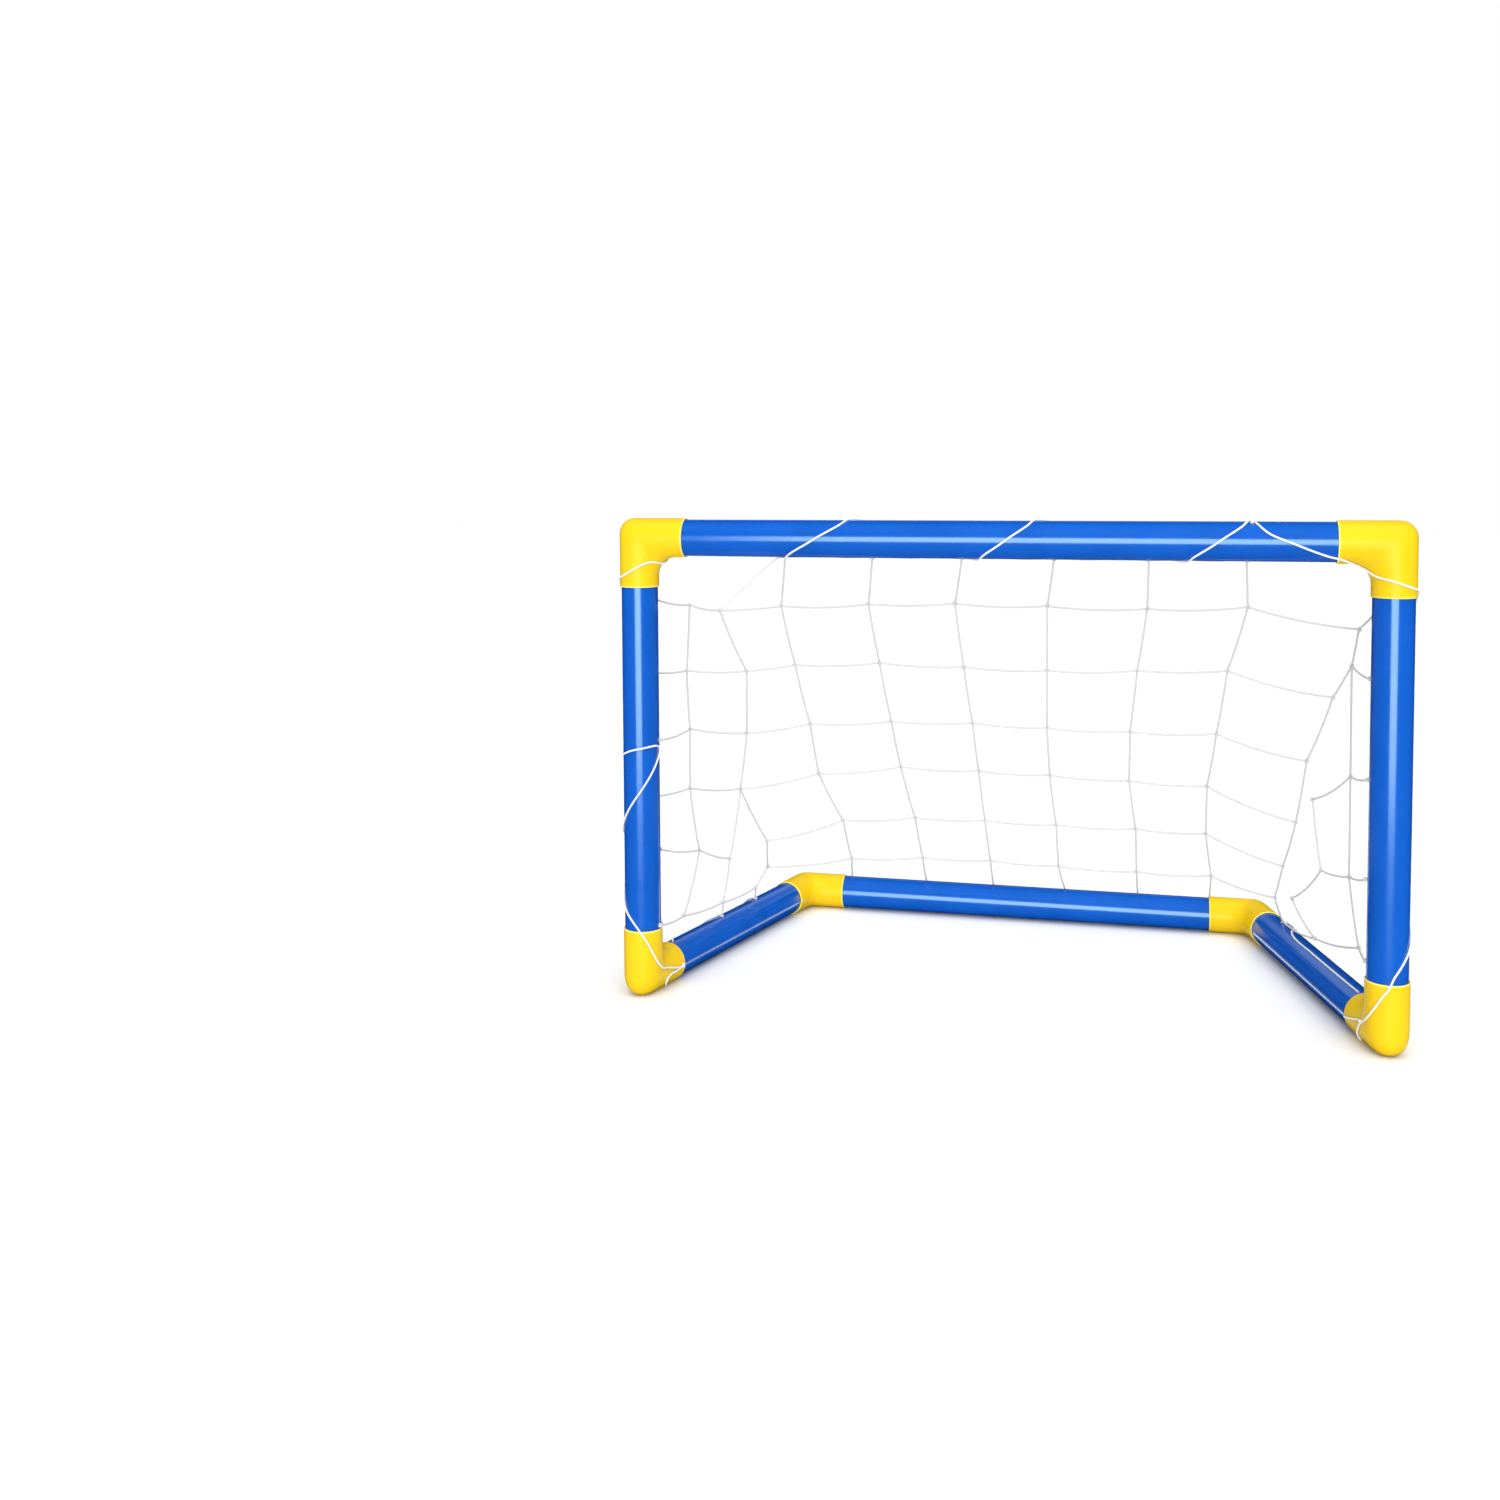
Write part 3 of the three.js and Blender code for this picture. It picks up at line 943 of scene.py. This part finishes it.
def floor_material(name, colour):
    """Matt paper with the faintest cloud in it."""
    n = Nodes(name)
    place = n.add("ShaderNodeTexCoord")
    cloud = n.noise(place.outputs["Object"], 3.0)
    lighter = tuple(min(1, c * 1.01) for c in colour)
    n.put(n.shader, "Base Color", n.ramp(cloud, (0.3, colour), (0.7, lighter)))
    n.shader.inputs["Roughness"].default_value = 0.6
    n.shader.inputs["Specular IOR Level"].default_value = 0.1
    return n.material


def glow_material(name, strength):
    material = bpy.data.materials.new(name)
    material.use_nodes = True
    tree = material.node_tree
    tree.nodes.clear()
    glow = tree.nodes.new("ShaderNodeEmission")
    glow.inputs[0].default_value = (*WHITE, 1)
    glow.inputs[1].default_value = strength
    out = tree.nodes.new("ShaderNodeOutputMaterial")
    tree.links.new(glow.outputs[0], out.inputs[0])
    return material


def stage_mesh(name, points, faces, material):
    """A piece of the stage, from points in metres."""
    obj = make_mesh(name, np.array(points) / MM, faces, material)
    return obj


def softbox(name, place, target, size, radiance, upright=None):
    """A white rectangle of light, as bright all over as the radiance says. upright is its height's
    direction, straight up unless given."""
    data = bpy.data.lights.new(name, "AREA")
    data.shape = "RECTANGLE"
    data.size, data.size_y = size
    data.energy = 4 * radiance * size[0] * size[1]
    light = bpy.data.objects.new(name, data)
    back = (Vector(place) - Vector(target)).normalized()
    height = Vector(UP if upright is None else upright)
    height = (height - back * height.dot(back)).normalized()
    turn = Matrix((height.cross(back), height, back)).transposed().to_4x4()
    light.matrix_world = Matrix.Translation(place) @ turn
    light.visible_camera = False
    bpy.context.collection.objects.link(light)


def soft_sun(name, way, energy, spread):
    """Even light from the side that way points to, spread over so many degrees. Nothing mirrors it."""
    data = bpy.data.lights.new(name, "SUN")
    data.energy = energy
    data.angle = math.radians(spread)
    sun = bpy.data.objects.new(name, data)
    sun.rotation_euler = Vector(way).to_track_quat("Z", "Y").to_euler()
    sun.visible_glossy = False
    bpy.context.collection.objects.link(sun)


FLOOR_HALF = 9.0       # metres
DOME_R = 14.0
DOME_SUNK = 0.4
DOME_AROUND, DOME_UP = 48, 12


def set_floor():
    """Lets light and reflections through, so that lights below its level reach the goal."""
    corners = [(x * FLOOR_HALF, y * FLOOR_HALF, 0) for x, y in ((-1, -1), (1, -1), (1, 1), (-1, 1))]
    floor = stage_mesh("floor", corners, [(0, 1, 2, 3)], floor_material("floor_white", (0.77, 0.77, 0.775)))
    floor.visible_glossy = False
    floor.visible_shadow = False


def set_backdrop():
    """A white dome that only the camera sees."""
    rings = []
    for i in range(DOME_UP):
        height = i / (DOME_UP - 1) * math.pi / 2
        reach, z = DOME_R * math.cos(height), DOME_R * math.sin(height) - DOME_SUNK
        rings += [(reach * math.cos(k / DOME_AROUND * TURN), reach * math.sin(k / DOME_AROUND * TURN), z)
                  for k in range(DOME_AROUND)]
    dome = stage_mesh("backdrop", rings, ring_faces(DOME_UP, DOME_AROUND), glow_material("white_air", 1.0))
    for sight in ("diffuse", "glossy", "transmission", "shadow", "volume_scatter"):
        setattr(dome, "visible_" + sight, False)


def set_world():
    """Faint cool light from all round."""
    world = bpy.data.worlds.new("air")
    bpy.context.scene.world = world
    world.use_nodes = True
    air = world.node_tree.nodes["Background"]
    air.inputs[0].default_value = (0.97, 0.98, 1.0, 1)
    air.inputs[1].default_value = 0.62
    world.cycles_visibility.glossy = False
    world.cycles_visibility.camera = False


def set_lights():
    """The tall soft window ahead of the goal also stands below the floor's level, so that the posts mirror
    it almost down to their feet. The one behind shows along the tops of the lying tubes, and the two low
    strips along the lower edges of the side tubes, as the glow of a white floor does."""
    softbox("key", place=(0.2, -6.3, 0.45), target=(0.0, 0.0, 0.25), size=(4.0, 3.1), radiance=4.2)
    softbox("back", place=(0.0, 7.0, 3.8), target=(0.0, 0.0, 0.0), size=(9.0, 0.8), radiance=0.6)
    for name, tube, way in (("left_strip", left_base, (0.612, 0.687, -0.392)),
                            ("right_strip", right_base, (-0.464, 0.80, -0.381))):
        middle = (tube.start + tube.end) / 2 * MM
        softbox(name, place=middle + 5 * np.array(way), target=middle, size=(0.45, 3.0), radiance=2.0,
                upright=tube.axis)
    soft_sun("overhead", way=(0.14, -0.24, 1.0), energy=2.4, spread=75)
    soft_sun("front_fill", way=(0.3, -1.0, 0.5), energy=1.0, spread=50)


set_floor()
set_backdrop()
set_world()
set_lights()
bpy.context.scene.view_settings.view_transform = "Standard"
bpy.context.scene.view_settings.look = "None"
